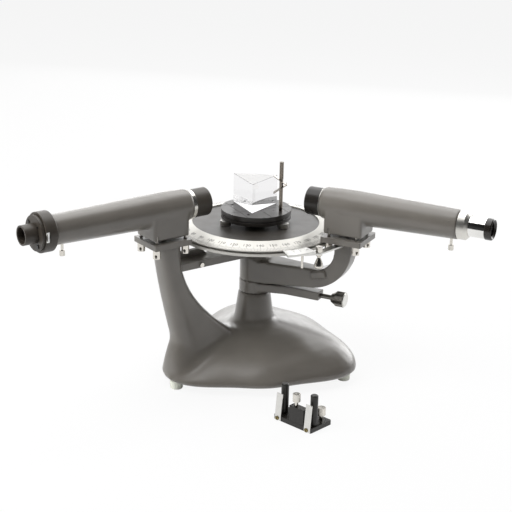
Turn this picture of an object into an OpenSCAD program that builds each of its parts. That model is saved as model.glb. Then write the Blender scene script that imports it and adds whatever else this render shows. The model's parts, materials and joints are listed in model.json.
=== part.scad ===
// Student spectrometer: a cast base whose pillar carries the collimator, a telescope that
// swings on an arm, a divided circle with a vernier, a prism table and its grating holder.
// Heights count from the bench. The three instruments share one upright main axis.

/* [Heights on the main axis] */
// Height of the rubber feet under the base
foot_h = 8; // [5:0.5:12]
// Height of the base's dome above its lower rim
dome_h = 50; // [44:1:54]
// Height of the tapered column, with its seat in the dome
column_h = 36; // [30:1:42]
// Height of the clamp ring
ring_h = 13.7; // [10:0.1:18]
// Height of the telescope arm's hub
hub_h = 28; // [22:0.5:34]
// Thickness of the tie bar
tie_h = 8; // [6:0.5:12]
// Height of the dial carrier's hub below its flange
carrier_h = 16.5; // [12:0.5:18]
// Height of the pads above the circle's edge
pad_over_dial = 0.6; // [0.5:0.1:3]
// Height of the optical axis above the foot of each casting
block_h = 28.4; // [28:0.1:32]

/* [Base casting] */
// Mean radius of the base's outline
base_r = 100.6; // [94:0.2:108]
// How far each of the three lobes stands out from the mean
lobe = 13; // [8:0.5:15]
// How much each lobe is pointed
lobe_point = 4.3; // [0:0.1:5]
// Height of the widest line above the lower rim
skirt_h = 5; // [4:0.5:9]
// Compass angle of the first foot, seen from above
foot_az = 219.9; // [210:0.1:226]
// Distance from the main axis to each foot
foot_circle_r = 106.5; // [98:0.5:109]
// Radius of a foot at the bench
foot_r = 6.8; // [5:0.1:8]
// Depth of the sockets that the feet are pressed into
foot_socket = 1.6; // [1:0.1:3]
// Wall left around the hollow under the dome
base_wall = 9; // [7:0.5:14]
// Thickness of the cover under the base
cover_t = 1.5; // [1:0.1:3]

/* [Pillar] */
// Compass angle of the collimator and its pillar
col_az = 216.4; // [212:0.1:222]
// Radius of the pillar's outer edge at its top
pillar_out = 128.6; // [127:0.2:132]
// Radial thickness of the pillar at its top
pillar_t = 25.8; // [22:0.2:27]
// Width of the pillar across its top
pillar_w = 30; // [26:0.5:30]
// How far the outer edge leans in for each millimetre of drop
pillar_lean = 0.217; // [0.15:0.001:0.25]

/* [Column and spindle] */
// Radius of the column at its foot
column_r0 = 22.6; // [19:0.1:24]
// Radius of the column at its top
column_r1 = 17.5; // [16:0.25:18.5]
// Depth that the column sits into the dome
column_seat = 4; // [2:0.5:8]
// Radius of the spindle
spindle_r = 10; // [8:0.1:11]
// Radius of the clamp ring
ring_r = 16.8; // [15:0.1:19]
// Radius of the telescope arm's hub
hub_r = 16.5; // [15:0.1:19]

/* [Tie bar] */
// Width of the tie bar
tie_w = 22; // [16:1:24]
// Radius of the tie bar's eye
tie_eye_r = 17; // [15:0.5:20]
// Distance of the tie bar's screw from the main axis
tie_screw_at = 78; // [50:1:85]
// Radius of the tie bar screws' heads
tie_screw_r = 2.6; // [2:0.1:3.2]

/* [Telescope arm] */
// Compass angle of the telescope and its arm
tel_az = 333.8; // [325:0.1:340]
// Width of the arm
arm_w = 18; // [14:0.5:20]
// Thickness of the arm's upright
arm_t = 19.5; // [15:0.5:22]
// Distance from the arm's inner face to the middle of its pad
arm_to_pad = 11.7; // [9:0.1:12.5]
// Radius of the arm's inner bend
bend_in_r = 23; // [12:1:26]
// Radius of the arm's outer bend
bend_out_r = 50; // [40:1:54]

/* [Clamp] */
// Reach of the clamp ring's bar from the main axis
bar_reach = 80; // [70:1:84]
// Width of the clamp ring's bar
bar_w = 13; // [10:0.5:16]
// Radius of the clamp screw's rod
rod_r = 2.6; // [2:0.1:3.2]
// Length of bare rod between the bar and the knob
rod_show = 13.5; // [8:0.5:16]
// Radius of the clamp knob
knob_r = 8.2; // [6:0.1:9]
// Length of the clamp knob
knob_l = 15.5; // [10:0.5:16]

/* [Pads, studs and nuts] */
// Length of each pad along its tube
pad_l = 45.5; // [44:0.5:50]
// Width of each pad
pad_w = 43; // [40:0.5:46]
// Thickness of each pad
pad_t = 6; // [4:0.5:7]
// Height of the open gap between pad and casting
tilt_gap = 2.7; // [2:0.1:3.5]
// Half the distance between the collimator's studs along the tube
col_stud_u = 17.5; // [17:0.1:18.5]
// Half the distance between the telescope's studs along the tube
tel_stud_u = 15.3; // [13:0.1:18]
// Half the distance between studs across the tube
stud_v = 15; // [14.5:0.1:15.6]
// Radius of a stud
stud_r = 1.5; // [1.2:0.05:1.8]
// Radius of a capstan nut
nut_r = 4.1; // [3.6:0.1:4.3]
// Height of a capstan nut
nut_h = 9; // [7:0.5:11]
// Radius of the tommy-bar holes in a capstan nut
tommy_r = 1.3; // [0.9:0.1:1.6]

/* [Tube castings] */
// Length of the collimator's casting
col_cast_l = 160.9; // [152:0.1:162]
// Length of the telescope's casting
tel_cast_l = 151; // [146:0.2:158]
// Largest radius of the castings, above the pad
cast_r = 18.2; // [17.8:0.1:19]
// Radius of the castings at their far end
cast_end_r = 15.5; // [15:0.1:16.5]
// Radius of the bore through the castings
bore_r = 13; // [12:0.1:13.4]
// Distance from the near end to the middle of the pad
pad_from_end = 28.8; // [27:0.2:33]
// Length of the block under each casting
block_l = 43; // [40:0.5:45]
// Distance from the collimator's far end to its lock screw
col_lock_in = 13.3; // [6:0.1:16]
// Distance from the telescope's far end to its lock screw
tel_lock_in = 8.4; // [6:0.1:14]
// Distance from the main axis to the collimator casting
col_u0 = 90.2; // [88:0.2:94]

/* [Lens end] */
// Radius of the hoods
hood_r = 15; // [14:0.1:15.6]
// Length of the collimator's hood
col_hood_l = 19; // [12:0.2:20]
// Length of the telescope's hood
tel_hood_l = 16.2; // [12:0.2:18]
// Bore radius of the hoods and lens cells
clear_r = 12; // [10:0.1:12.6]
// Radius of the lens cell's rim
cell_r = 15.8; // [15.2:0.1:16.4]
// Rim of the collimator's lens cell that shows
cell_show = 4.2; // [1:0.1:5]
// Rim of the telescope's lens cell that shows
tel_cell_show = 0.8; // [0.6:0.1:5]
// Thickness of the objective lenses at their middle
lens_t = 4.4; // [3:0.1:5]

/* [Slit end] */
// Space between the casting and the slit ring
neck_l = 0.3; // [0.3:0.1:2]
// Radius of the slit ring
slit_ring_r = 20.6; // [18:0.1:23]
// Length of the slit ring
slit_ring_l = 13.6; // [10:0.1:16]
// Radius of the slit plate
slit_plate_r = 18.2; // [16:0.1:20]
// Thickness of the slit plate
slit_plate_t = 3; // [2:0.1:4]
// Radius of the entrance tube
slit_tube_r = 10.2; // [9:0.1:11]
// Length of the entrance tube
slit_tube_l = 14; // [10:0.5:18]
// Bore radius of the entrance tube
slit_tube_bore = 8.4; // [7:0.1:8.8]
// Width of the slit at rest
slit_gap = 0.3; // [0.2:0.1:1]

/* [Eyepiece end] */
// Radius of the eyepiece tube's flange
flange_r = 14.9; // [13.6:0.1:15.4]
// Length of that flange
flange_l = 8.2; // [4:0.2:10]
// Radius of the eyepiece barrel
barrel_r = 10.6; // [9:0.1:10.8]
// Bare length of the eyepiece barrel
barrel_show = 17.1; // [10:0.1:20]
// Radius of the eyecup
eyecup_r = 11.1; // [11:0.1:13]
// Length of the eyecup
eyecup_l = 7.6; // [6:0.2:12]

/* [Dial] */
// Radius of the divided circle
dial_r = 89; // [85:0.5:92]
// Inner radius of the scale's sloping band
band_r = 69; // [62:0.5:72]
// Fall of the band from its inner to its outer edge
band_fall = 4.5; // [3:0.1:6]
// Thickness of the circle at its outer edge
dial_edge = 1.2; // [1:0.1:1.8]
// Thickness of the flange below the circle
flange_t = 2.9; // [2:0.1:4]
// Dark gap between the flange and the circle's edge
dial_gap = 2.6; // [2:0.1:4]
// Depth of the black disc below the band's inner edge
disc_sunk = 1.2; // [0.5:0.1:2]

/* [Vernier] */
// Angle from the telescope arm back to the vernier's far edge
vernier_from = 45.3; // [43:0.1:48]
// Angle that the vernier plate spans
vernier_span = 18; // [15:0.5:20]
// Radial width of the vernier plate
vernier_w = 16.5; // [12:0.5:18]
// Thickness of the vernier plate
vernier_t = 2.4; // [2:0.1:3.2]
// Distance from the circle's edge out to the strip's bolt
strip_out = 15; // [12:0.5:18]
// Width of the strip
strip_w = 8; // [7:0.5:9]
// Thickness of the strip
strip_t = 1.8; // [1.4:0.1:2.4]

/* [Prism table] */
// Radius of the prism table
table_r = 38; // [34:0.5:42]
// Thickness of the top plate
top_t = 5.2; // [4:0.1:7]
// Thickness of the lower plate
lower_t = 4.1; // [3:0.1:5]
// Open gap between the two plates
plate_gap = 0.7; // [0.5:0.1:1.5]
// Height of the table's top above the dial disc
table_h = 15.9; // [15.5:0.1:18]
// Radius of the table's stem
stem_r = 6; // [4.5:0.1:7]
// Length of stem inside the spindle
stem_l = 60; // [40:1:64]
// Radius of the levelling screws' heads
level_r = 6; // [4.5:0.1:6.5]
// Distance of the levelling screws from the table's edge
level_in = 2.4; // [2.2:0.1:6]

/* [Prism, post and clip] */
// Side of the equilateral prism
prism_side = 48; // [40:1:50]
// Height of the prism
prism_h = 32; // [25:1:40]
// Height of the clamp post above the table
post_h = 54; // [45:1:60]
// Radius of the clamp post
post_r = 2; // [1.6:0.1:2.4]
// Length of the spring clip from bend to tips
clip_l = 13.5; // [10:0.5:15]
// Height between the clip's two tips
clip_open = 19; // [14:0.5:22]
// Thickness of the clip's strip
clip_t = 0.7; // [0.5:0.1:1]

/* [Grating holder] */
// Length of the holder's plate
hold_l = 51; // [48:1:56]
// Width of the holder's plate
hold_w = 32; // [30:1:38]
// Thickness of the holder's plate
hold_t = 5; // [4:0.5:7]
// Height of the two round posts above the plate
hold_post_h = 33; // [28:1:38]
// Radius of the two round posts
hold_post_r = 4; // [3:0.1:4.4]
// Height of the upright block above the bench
hold_block_h = 22; // [18:1:26]
// Length of the two leaf springs
leaf_l = 29; // [24:1:32]
// Width of the two leaf springs
leaf_w = 8; // [6:0.1:9]
// Compass angle of the holder's long edge
hold_az = -43.2; // [-46:0.1:-40]
// Distance of the holder's middle to the right of the main axis
hold_x = 52.4; // [50:0.5:56]
// Distance of the holder's middle in front of the main axis
hold_y = 145; // [145:0.5:150]

/* [Hidden] */
$fn = 64;

// Clearances: play between turning or sliding pieces, fit between seated ones,
// seat between faces that move past each other, and cut past a surface.
play = 0.05;
fit = 0.02;
seat = 0.3;
cut = 1;

// Colours
paint_grey = [0.36, 0.35, 0.33];
black_satin = [0.1, 0.1, 0.1];
bright = [0.8, 0.8, 0.78];
steel_grey = [0.6, 0.6, 0.6];
pale_rubber = [0.75, 0.78, 0.72];
glass_clear = [0.85, 0.9, 0.92, 0.4];
brass = [0.75, 0.62, 0.3];

// Heights worked out from the bench upwards
spindle_in = 24;
dome_top = foot_h + dome_h;
column_z0 = dome_top - column_seat;
column_z1 = column_z0 + column_h;
ring_z0 = column_z1 + seat;
ring_z1 = ring_z0 + ring_h;
hub_z0 = ring_z1;
hub_z1 = hub_z0 + hub_h;
tie_z0 = hub_z1 + 1.4;
tie_z1 = tie_z0 + tie_h;
carrier_z0 = tie_z1 + seat;
flange_z0 = carrier_z0 + carrier_h;
flange_z1 = flange_z0 + flange_t;
edge_z0 = flange_z1 + dial_gap;
edge_z1 = edge_z0 + dial_edge;
band_z = edge_z1 + band_fall;
disc_z = band_z - disc_sunk;
table_z = disc_z + table_h;
top_z0 = table_z - top_t;
lower_z1 = top_z0 - plate_gap;
lower_z0 = lower_z1 - lower_t;
pad_z0 = edge_z1 + pad_over_dial;
pad_z1 = pad_z0 + pad_t;
block_z0 = pad_z1 + tilt_gap;
optic_h = block_z0 + block_h;
spindle_z0 = foot_h + spindle_in;
spindle_z1 = flange_z0 - 0.4;

// Places along the two tubes
col_pad_u = col_u0 + pad_from_end;
tel_pad_u = dial_r + seat + nut_r + tel_stud_u;
tel_u0 = tel_pad_u - pad_from_end;
arm_in = tel_pad_u - arm_to_pad;
arm_out = arm_in + arm_t;
ring_u0 = col_u0 + col_cast_l + neck_l;
ring_u1 = ring_u0 + slit_ring_l;
plate_u0 = ring_u1 + seat;
plate_u1 = plate_u0 + slit_plate_t;
col_end = plate_u1 + slit_tube_l;
tel_cast_end = tel_u0 + tel_cast_l;
flange_u1 = tel_cast_end + flange_l;
cone_u1 = flange_u1 + 2.5;
cap_u0 = cone_u1 + barrel_show;
tel_end = cap_u0 + eyecup_l;
draw_r = bore_r - play;

// The frame stands over the middle of everything, so the main axis is a little off it
left_x = col_end * cos(col_az) - slit_tube_r * abs(sin(col_az));
right_x = tel_end * cos(tel_az) + eyecup_r * abs(sin(tel_az));
front_y = col_end * sin(col_az) - slit_tube_r * abs(cos(col_az));
back_y = max([for (a = [0:5:355]) outline_r(a) * sin(a)]);
axis_x = -(left_x + right_x) / 2;
axis_y = -(front_y + back_y) / 2;

// Base casting
skirt_z = foot_h + skirt_h;
rim_in = 0.1;
base_shift = 1.4;
dome_full = 0.6;
dome_lean = 0.24;
dome_round = 1.5;
sectors = 72;
function outline_r(a) = base_r + lobe * cos(3 * (a - foot_az)) + lobe_point * cos(6 * (a - foot_az));
function dome_power(a) = dome_full + dome_lean * cos(a - col_az);
function dome_z(u, a) = skirt_z
    + (dome_top - skirt_z) * pow(1 - pow(u, dome_round), dome_power(a));
rim_steps = 3;
dome_steps = 12;
function dome_point(k, a) = k < rim_steps
    ? let (t = 90 * k / rim_steps, r = outline_r(a) * (1 - rim_in * (1 - sin(t))))
        [r * cos(a) + base_shift, r * sin(a), skirt_z - skirt_h * cos(t)]
    : let (u = cos(88 * (k - rim_steps) / (dome_steps - 1)), r = outline_r(a) * u)
        [r * cos(a) + base_shift * u, r * sin(a), dome_z(u, a)];
function loft_faces(rings, n) = concat(
    [[for (j = [0:n - 1]) j]],
    [for (k = [0:rings - 2]) for (j = [0:n - 1]) let (a = k * n + j, b = k * n + (j + 1) % n)
        [a, a + n, b]],
    [for (k = [0:rings - 2]) for (j = [0:n - 1]) let (a = k * n + j, b = k * n + (j + 1) % n)
        [b, a + n, b + n]],
    [[for (j = [n - 1:-1:0]) (rings - 1) * n + j]]);

module dome() {
    rings = rim_steps + dome_steps;
    polyhedron([for (k = [0:rings - 1]) for (j = [0:sectors - 1])
        dome_point(k, j * 360 / sectors)], loft_faces(rings, sectors));
}

// Pillar: oval sections that widen into the dome, inner edge along one smooth curve
pillar_sides = 28;
pillar_steps = 20;
pillar_foot = foot_h + 6;
toe_z0 = 20;
toe_z1 = dome_top - 4;
toe_out = 7.5;
pillar_bow = 2.7;
inner_sweep = 8.3;
curve_from = pad_z0 - 12;
flare_w = 17;
flare_rise = 52;
flare_from = dome_top + flare_rise;
function pillar_side(z) = pillar_out - pillar_lean * (pad_z0 - z)
    + pillar_bow * sin(180 * (z - pillar_foot) / (pad_z0 - pillar_foot));
function pillar_outer(z) = z > toe_z1 ? pillar_side(z) : pillar_side(toe_z1)
    + toe_out * (1 - pow(max(0, z - toe_z0) / (toe_z1 - toe_z0), 2));
function pillar_inner(z) = max(column_r0, pillar_out - pillar_t
    - inner_sweep * pow(max(0, curve_from - z) / 35, 2));
function pillar_half(z) = pillar_w / 2
    + flare_w * pow(max(0, flare_from - z) / (flare_from - foot_h), 4.7);
function bulge(c) = sign(c) * pow(abs(c), 0.64);
function pillar_point(z, a) = let (ro = pillar_outer(z), ri = pillar_inner(z))
    [(ro + ri) / 2 + (ro - ri) / 2 * bulge(cos(a)), pillar_half(z) * bulge(sin(a)), z];

module pillar() {
    rotate([0, 0, col_az])
        polyhedron([for (k = [0:pillar_steps]) for (j = [0:pillar_sides - 1])
            pillar_point(pillar_foot + (pad_z0 - pillar_foot) * k / pillar_steps,
                j * 360 / pillar_sides)], loft_faces(pillar_steps + 1, pillar_sides));
}

module at_axis() {
    translate([axis_x, axis_y, 0]) children();
}

module in_collimator() {
    at_axis() rotate([0, 0, col_az]) children();
}

module in_telescope() {
    at_axis() rotate([0, 0, tel_az]) children();
}

// Turns a shape that stands on z so that it lies along a tube, from distance u
module lying(u) {
    translate([u, 0, optic_h]) rotate([0, 90, 0]) children();
}

module tube(r, bore, h) {
    difference() {
        cylinder(r = r, h = h);
        translate([0, 0, -cut]) cylinder(r = bore, h = h + 2 * cut);
    }
}

// A knurled head: fine straight teeth round a short cylinder
module knurled(r, h, teeth = 28) {
    linear_extrude(h) polygon([for (i = [0:2 * teeth - 1])
        (r - (i % 2) * 0.35) * [cos(i * 180 / teeth), sin(i * 180 / teeth)]]);
}

module slab(l, w, h, corner) {
    linear_extrude(h) hull() for (x = [-1, 1], y = [-1, 1])
        translate([x * (l / 2 - corner), y * (w / 2 - corner)]) circle(r = corner, $fn = 32);
}

// The hollow under the dome, and the ledge that its cover sits in
cover_r = base_r - lobe - base_wall;
hollow_top = dome_top - 2 * base_wall;

foot_flare = 0.5;
cover_hole_r = 3;

module at_feet() {
    for (i = [0:2]) rotate([0, 0, foot_az + 120 * i]) translate([foot_circle_r, 0, 0]) children();
}

module base_hollow() {
    rotate_extrude() polygon([[spindle_r + base_wall, foot_h - cut],
        [cover_r - 4, foot_h - cut], [cover_r - 4, foot_h + 4],
        [cover_r * 0.55, hollow_top], [spindle_r + base_wall, hollow_top]]);
    translate([0, 0, foot_h - cut]) cylinder(r = cover_r + 2 * fit, h = cover_t + cut);
}

module base_casting() {
    color(paint_grey) at_axis() difference() {
        union() {
            dome();
            pillar();
        }
        base_hollow();
        translate([0, 0, column_z0]) cylinder(r = column_r0 + fit, h = pad_z0);
        translate([0, 0, spindle_z0]) cylinder(r = spindle_r + 2 * fit, h = dome_h);
        translate([0, 0, foot_h - cut]) cylinder(r = cover_hole_r, h = dome_h);
        at_feet() translate([0, 0, foot_h - cut])
            cylinder(r = foot_r + foot_flare + fit, h = foot_socket + fit + cut);
        rotate([0, 0, col_az]) translate([tie_end_u - 2 * tie_notch, -tie_w / 2 - fit, tie_z0 - fit])
            cube([2 * tie_notch + fit, tie_w + 2 * fit, tie_h + 2 * fit]);
    }
}

module base_cover() {
    color(steel_grey) at_axis() translate([0, 0, foot_h])
        tube(cover_r, cover_hole_r, cover_t);
}

module rubber_feet() {
    color(pale_rubber) at_axis() at_feet() rotate_extrude() polygon([[0, 0], [foot_r - 0.8, 0],
        [foot_r, 0.8], [foot_r + foot_flare, foot_h], [foot_r + foot_flare, foot_h + foot_socket],
        [0, foot_h + foot_socket]]);
}

module central_column() {
    color(paint_grey) at_axis() translate([0, 0, column_z0]) difference() {
        cylinder(r1 = column_r0, r2 = column_r1, h = column_h);
        translate([0, 0, -cut]) cylinder(r = spindle_r + fit, h = column_h + 2 * cut);
    }
}

stem_z0 = lower_z0 - stem_l;

module spindle() {
    color(steel_grey) at_axis() difference() {
        translate([0, 0, spindle_z0]) cylinder(r = spindle_r, h = spindle_z1 - spindle_z0);
        translate([0, 0, stem_z0 - seat]) cylinder(r = stem_r + play, h = spindle_z1);
        translate([0, 0, spindle_z0 - cut]) cylinder(r = cover_hole_r, h = 20);
    }
}

// Tie bar: from an eye on the spindle to a notch in the pillar
tie_notch = 7;
tie_end_u = pillar_inner(tie_z0) + tie_notch;
tie_rib_u = 60;
tie_rib_w = 5;
tie_rib_h = 7;
tie_screw_shank = 1.5;
tie_screw_l = 6.4;
tie_screw_head = 1.6;

module tie_bar() {
    color(paint_grey) in_collimator() translate([0, 0, tie_z0]) difference() {
        union() {
            cylinder(r = tie_eye_r, h = tie_h);
            translate([0, -tie_w / 2, 0]) cube([tie_end_u, tie_w, tie_h]);
            translate([0, tie_rib_w - tie_w / 2, 0]) rotate([90, 0, 0]) linear_extrude(tie_rib_w)
                polygon([[tie_rib_u, tie_h - cut], [tie_rib_u, tie_h],
                    [tie_rib_u + tie_rib_h, tie_h + tie_rib_h],
                    [pillar_inner(tie_z1 + tie_rib_h), tie_h + tie_rib_h],
                    [pillar_inner(tie_z1), tie_h - cut]]);
        }
        translate([0, 0, -cut]) cylinder(r = spindle_r + fit, h = tie_h + 2 * cut);
        for (side = [-1, 1]) translate([tie_screw_at, side * (tie_w / 2 + cut), tie_h * 0.4])
            rotate([side * 90, 0, 0])
                cylinder(r = tie_screw_shank + fit, h = tie_screw_l + seat + cut);
    }
}

module tie_bar_screws() {
    color(bright) in_collimator() for (side = [-1, 1])
        translate([tie_screw_at, side * (tie_w / 2 + tie_screw_head), tie_z0 + tie_h * 0.4])
            rotate([side * 90, 0, 0]) {
                cylinder(r = tie_screw_r, h = tie_screw_head);
                cylinder(r = tie_screw_shank, h = tie_screw_head + tie_screw_l);
            }
}

// Pads, the castings that rest over them, and the studs and nuts that level the castings
module at_studs(stud_u) {
    for (u = [-stud_u, stud_u], v = [-stud_v, stud_v]) translate([u, v, 0]) children();
}

stud_top = block_z0 + 7;
nut_z0 = pad_z0 - 0.5 - nut_h;
boss_r = 3;

// The thumbscrew under the far end of each casting; its neck counts down from the tube's axis
lock_r = 1.5;
lock_neck = 23;
lock_head_r = 2.8;
lock_head_h = 5.6;

module pad(stud_u) {
    color(paint_grey) difference() {
        union() {
            translate([0, 0, pad_z0]) slab(pad_l, pad_w, pad_t, 1.5);
            translate([0, 0, pad_z1]) cylinder(r = boss_r, h = tilt_gap - 0.1);
        }
        at_studs(stud_u) translate([0, 0, pad_z0 - cut]) cylinder(r = stud_r + 0.6, h = pad_t + 2 * cut);
    }
}

module studs(stud_u) {
    color(steel_grey) at_studs(stud_u) translate([0, 0, nut_z0 - 0.6])
        cylinder(r = stud_r, h = stud_top - nut_z0 + 0.6, $fn = 24);
}

module capstan_nuts(stud_u) {
    color(bright) at_studs(stud_u) translate([0, 0, nut_z0]) difference() {
        cylinder(r = nut_r, h = nut_h);
        translate([0, 0, -cut]) cylinder(r = stud_r + fit, h = nut_h + 2 * cut, $fn = 24);
        for (turn = [45, 135]) translate([0, 0, nut_h * 0.4]) rotate([90, 0, turn])
            translate([0, 0, -nut_r - cut]) cylinder(r = tommy_r, h = 2 * (nut_r + cut), $fn = 24);
    }
}

module tube_casting(u0, cast_l, stud_u, lock_in) {
    shoulder = 6;
    neck_r = cast_r - 0.9;
    block_w = 2 * cast_r - 1.4;
    color(paint_grey) difference() {
        union() {
            lying(u0) rotate_extrude() polygon(concat([[0, 0]],
                [for (t = [0:15:90]) [cell_r + (neck_r - cell_r) * sin(t), shoulder * (1 - cos(t))]],
                [[cast_r, pad_from_end], [cast_end_r, cast_l - 1], [cast_end_r - 0.6, cast_l],
                    [0, cast_l]]));
            translate([u0 + pad_from_end, 0, block_z0])
                slab(block_l, block_w, optic_h - block_z0, 2.5);
        }
        lying(u0 - cut) cylinder(r = bore_r, h = cast_l + 2 * cut);
        lying(u0 - cut) cylinder(r = clear_r + cell_wall + fit, h = cell_skirt + cut + cut);
        translate([u0 + pad_from_end, 0, 0]) at_studs(stud_u) translate([0, 0, block_z0 - cut])
            cylinder(r = stud_r + fit, h = stud_top - block_z0 + cut, $fn = 24);
        translate([u0 + cast_l - lock_in, 0, optic_h - cast_r - cut])
            cylinder(r = lock_r + play, h = cast_r, $fn = 24);
    }
}

module lock_screw(u) {
    color(bright) translate([u, 0, optic_h - lock_neck]) {
        cylinder(r = lock_r, h = lock_neck - bore_r - play, $fn = 24);
        translate([0, 0, -lock_head_h]) knurled(lock_head_r, lock_head_h, 16);
    }
}

module collimator_pad() {
    in_collimator() translate([col_pad_u, 0, 0]) pad(col_stud_u);
}

// The telescope's pad is cut back underneath where it reaches over the circle's rim
relief_l = 2.6;
relief_h = 0.8;

module telescope_pad() {
    color(paint_grey) in_telescope() difference() {
        translate([tel_pad_u, 0, 0]) pad(tel_stud_u);
        translate([tel_pad_u - pad_l / 2, pad_w / 2 + cut, pad_z0]) rotate([90, 0, 0])
            linear_extrude(pad_w + 2 * cut)
                polygon([[-cut, -cut], [relief_l, -cut], [-cut, relief_h]]);
    }
}

module collimator_casting() {
    in_collimator() tube_casting(col_u0, col_cast_l, col_stud_u, col_lock_in);
}

module telescope_casting() {
    in_telescope() tube_casting(tel_u0, tel_cast_l, tel_stud_u, tel_lock_in);
}

module collimator_studs() {
    in_collimator() translate([col_pad_u, 0, 0]) studs(col_stud_u);
}

module telescope_studs() {
    in_telescope() translate([tel_pad_u, 0, 0]) studs(tel_stud_u);
}

module collimator_nuts() {
    in_collimator() translate([col_pad_u, 0, 0]) capstan_nuts(col_stud_u);
}

module telescope_nuts() {
    in_telescope() translate([tel_pad_u, 0, 0]) capstan_nuts(tel_stud_u);
}

module collimator_lock_screw() {
    in_collimator() lock_screw(col_u0 + col_cast_l - col_lock_in);
}

module telescope_lock_screw() {
    in_telescope() lock_screw(tel_cast_end - tel_lock_in);
}

// Lens ends
objective_curve = 60;
cell_wall = 2.2;
cell_skirt = 7;
lens_r = clear_r + 1.2;
function bow(r, curve_r) = curve_r - sqrt(curve_r * curve_r - r * r);

module lens_cell(u0, show) {
    color(bright) lying(u0 - show) rotate_extrude() polygon([[clear_r, 0], [cell_r - 0.4, 0],
        [cell_r, 0.4], [cell_r, show], [clear_r + cell_wall, show],
        [clear_r + cell_wall, show + cell_skirt], [lens_r + fit, show + cell_skirt],
        [lens_r + fit, show + 1], [clear_r, show + 1]]);
}

module biconvex(r, curve_r, thick) {
    rotate_extrude() polygon(concat(
        [for (t = [0:8]) [r * t / 8, bow(r * t / 8, curve_r)]],
        [for (t = [8:-1:0]) [r * t / 8, thick - bow(r * t / 8, curve_r)]]));
}

module lens(u0) {
    color(glass_clear) lying(u0 + 1.03 - bow(clear_r, objective_curve))
        biconvex(lens_r, objective_curve, lens_t);
}

module hood(u0, show, hood_l) {
    color(black_satin) lying(u0 - show - hood_l) rotate_extrude() polygon([[clear_r + 0.6, 0],
        [hood_r - 0.5, 0], [hood_r, 0.5], [hood_r, hood_l], [clear_r, hood_l],
        [clear_r, hood_l - 3], [clear_r + 0.6, hood_l - 4]]);
}

module collimator_lens_cell() {
    in_collimator() lens_cell(col_u0, cell_show);
}

module telescope_lens_cell() {
    in_telescope() lens_cell(tel_u0, tel_cell_show);
}

module collimator_lens() {
    in_collimator() lens(col_u0);
}

module telescope_lens() {
    in_telescope() lens(tel_u0);
}

module collimator_hood() {
    in_collimator() hood(col_u0, cell_show, col_hood_l);
}

module telescope_hood() {
    in_telescope() hood(tel_u0, tel_cell_show, tel_hood_l);
}

// Slit end: a draw tube, the ring that turns on it, the plate, the two jaws and a tube
slit_draw_bore = draw_r - 2;
slit_draw_in = 40;
slit_draw_u0 = ring_u0 - neck_l - slit_draw_in;
collar_l = 2;
collar_r = draw_r + 1.6;
slit_head_r = 2.2;
slit_head_t = 0.9;
slit_screw_at = (slit_plate_r + slit_tube_r) / 2;
slit_screw_r = 0.9;
slit_screw_l = 2;
mark_l = 3.5;
mark_w = 11;
mark_t = 1;

module at_slit_screws() {
    for (turn = [50, 212]) lying(plate_u1 - slit_screw_l) rotate([0, 0, turn])
        translate([-slit_screw_at, 0, 0]) children();
}

module slit_draw_tube() {
    color(black_satin) in_collimator() difference() {
        union() {
            lying(slit_draw_u0) cylinder(r = draw_r, h = plate_u0 - slit_draw_u0);
            lying(ring_u0 + seat) cylinder(r = collar_r, h = collar_l);
        }
        lying(slit_draw_u0 - cut) cylinder(r = slit_draw_bore, h = plate_u0 - slit_draw_u0 + 2 * cut);
    }
}

module slit_ring() {
    color(black_satin) in_collimator() difference() {
        lying(ring_u0) rotate_extrude() polygon([[collar_r + play, 0], [slit_ring_r - 1.6, 0],
            [slit_ring_r, 1.6], [slit_ring_r, slit_ring_l - 0.6],
            [slit_ring_r - 0.6, slit_ring_l], [draw_r + play, slit_ring_l],
            [draw_r + play, collar_l + 2 * seat], [collar_r + play, collar_l + 2 * seat]]);
        translate([ring_u1 - mark_t - mark_l, slit_ring_r - mark_t, optic_h - mark_w / 2])
            cube([mark_l, mark_t + cut, mark_w]);
    }
}

module slit_plate() {
    color(steel_grey) in_collimator() difference() {
        lying(plate_u0) tube(slit_plate_r, 6, slit_plate_t);
        at_slit_screws() cylinder(r = slit_screw_r + fit, h = slit_screw_l + cut, $fn = 24);
    }
}

module slit_screws() {
    color(bright) in_collimator() at_slit_screws() {
        cylinder(r = slit_screw_r, h = slit_screw_l, $fn = 24);
        translate([0, 0, slit_screw_l]) cylinder(r = slit_head_r, h = slit_head_t, $fn = 24);
    }
}

module slit_tube() {
    color(black_satin) in_collimator() lying(plate_u1)
        tube(slit_tube_r, slit_tube_bore, slit_tube_l);
}

jaw_w = slit_draw_bore * 0.63;

module slit_jaw(side) {
    color(steel_grey) in_collimator() translate([plate_u0 - 1, 0, optic_h - jaw_w])
        translate([0, side > 0 ? slit_gap / 2 : -slit_gap / 2 - jaw_w, 0])
            cube([0.8, jaw_w, 2 * jaw_w]);
}

module slit_jaw_left() {
    slit_jaw(1);
}

module slit_jaw_right() {
    slit_jaw(-1);
}

// Eyepiece end
eye_draw_in = 45;
eye_draw_l = cone_u1 - tel_cast_end + eye_draw_in;
barrel_in = 30;
barrel_u0 = flange_u1 - barrel_in;
barrel_bore = barrel_r - 1.4;
cup_lip = barrel_bore - 1.2;
eye_hole = cup_lip - 0.7;
cup_skirt = 5;
wire_in = 35;
wire_u = tel_cast_end - wire_in;
wire_t = 0.2;

module eyepiece_tube() {
    color(bright) in_telescope() lying(tel_cast_end - eye_draw_in) rotate_extrude()
        polygon([[barrel_r + play, 0], [draw_r, 0], [draw_r, eye_draw_in + play],
            [flange_r, eye_draw_in + play], [flange_r, eye_draw_in + flange_l - 0.6],
            [flange_r - 0.6, eye_draw_in + flange_l], [barrel_r + 1, eye_draw_l],
            [barrel_r + play, eye_draw_l]]);
}

module crosswire_ring() {
    color(black_satin) in_telescope() lying(wire_u) {
        tube(barrel_r + play, 7.5, 2);
        for (turn = [0, 90]) rotate([0, 0, turn]) translate([-8, -wire_t / 2, 1 - wire_t / 2])
            cube([16, wire_t, wire_t]);
    }
}

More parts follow.
